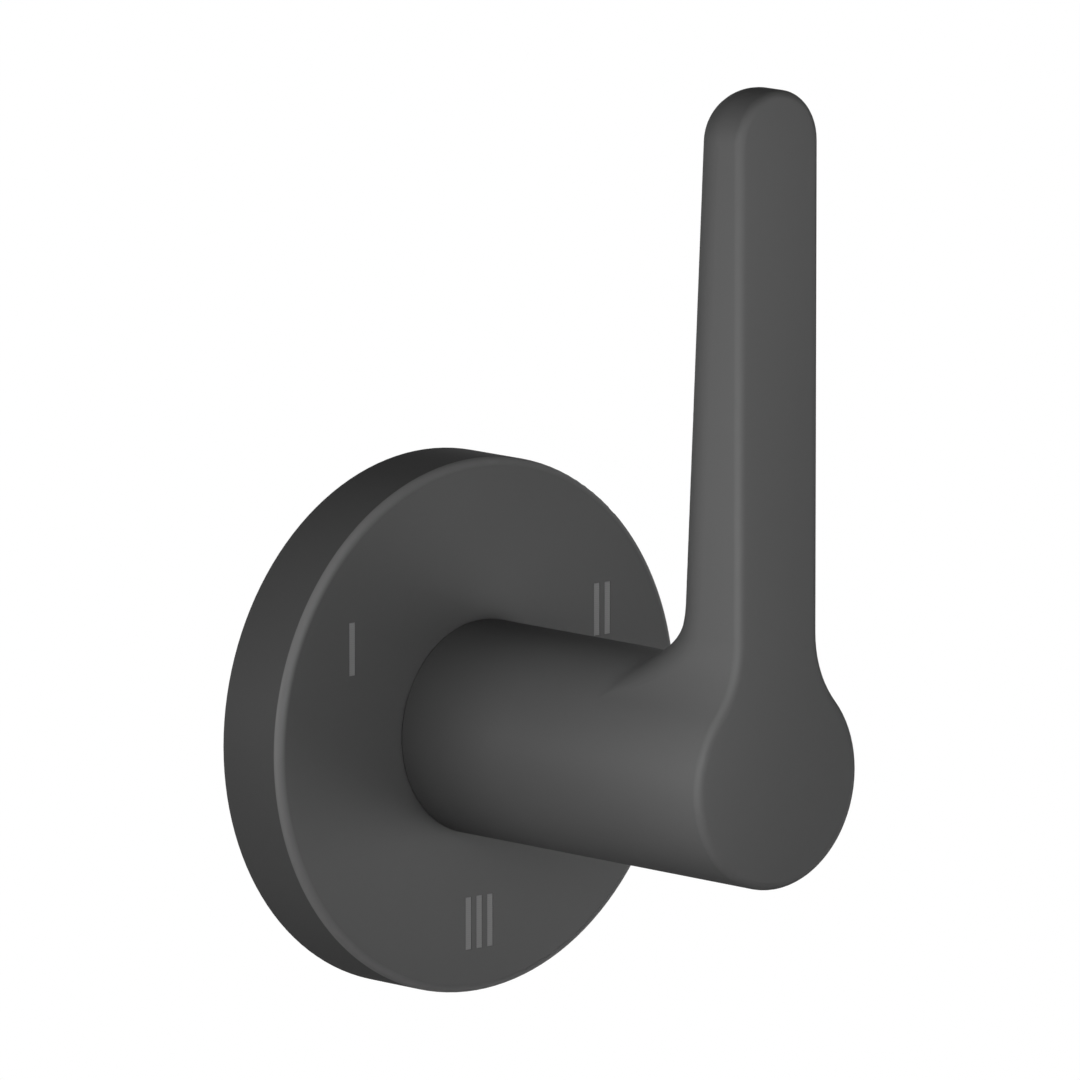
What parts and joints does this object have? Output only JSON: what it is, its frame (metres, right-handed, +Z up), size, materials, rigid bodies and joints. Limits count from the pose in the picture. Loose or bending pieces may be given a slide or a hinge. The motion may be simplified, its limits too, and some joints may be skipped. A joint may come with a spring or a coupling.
{
  "type": "shower diverter valve",
  "caption": "Wall-mounted shower diverter valve trim: round escutcheon with position bars, tubular hub and lever handle, with the ceramic disc headwork inside.",
  "frame": {"origin": "on the turning axis, in the wall plane, which is the back face of the escutcheon", "axes": "+Y into the wall along the turning axis, -Y is the front, +Z up along the lever at rest, +X to the right seen from the front"},
  "size_m": [0.06, 0.0756, 0.106],
  "materials": {
    "graphite_coating": "matte dark grey coating",
    "brass": "turned",
    "stainless_steel": "bright",
    "acetal": "moulded, off-white",
    "dark_nylon": "moulded, black",
    "ceramic": "lapped ceramic",
    "rubber": "moulded"
  },
  "bodies": {
    "valve": {"escutcheon": "graphite_coating", "escutcheon_seal": "rubber", "escutcheon_o_ring": "rubber", "escutcheon_sleeve": "brass", "headwork_housing": "brass", "headwork_o_ring": "rubber", "stop_ring": "dark_nylon", "friction_washer": "acetal", "port_disc": "ceramic", "disc_seal": "rubber", "cartridge_base": "dark_nylon", "port_seals": "rubber"},
    "lever": {"lever_handle": "graphite_coating", "handle_grub_screw": "stainless_steel", "handle_glide_ring": "acetal", "spline_adapter": "acetal", "adapter_screw": "stainless_steel", "detent_ball": "stainless_steel", "detent_spring": "stainless_steel", "spindle": "brass", "spindle_o_rings": "rubber", "spindle_circlip": "stainless_steel", "disc_carrier": "acetal", "diverting_disc": "ceramic"}
  },
  "joints": [
    {"name": "lever_turn", "type": "hinge", "parent": "valve", "child": "lever", "pos_m": [0, 0, 0], "axis": [0, 1, 0], "range_deg": [-60, 180]}
  ]
}
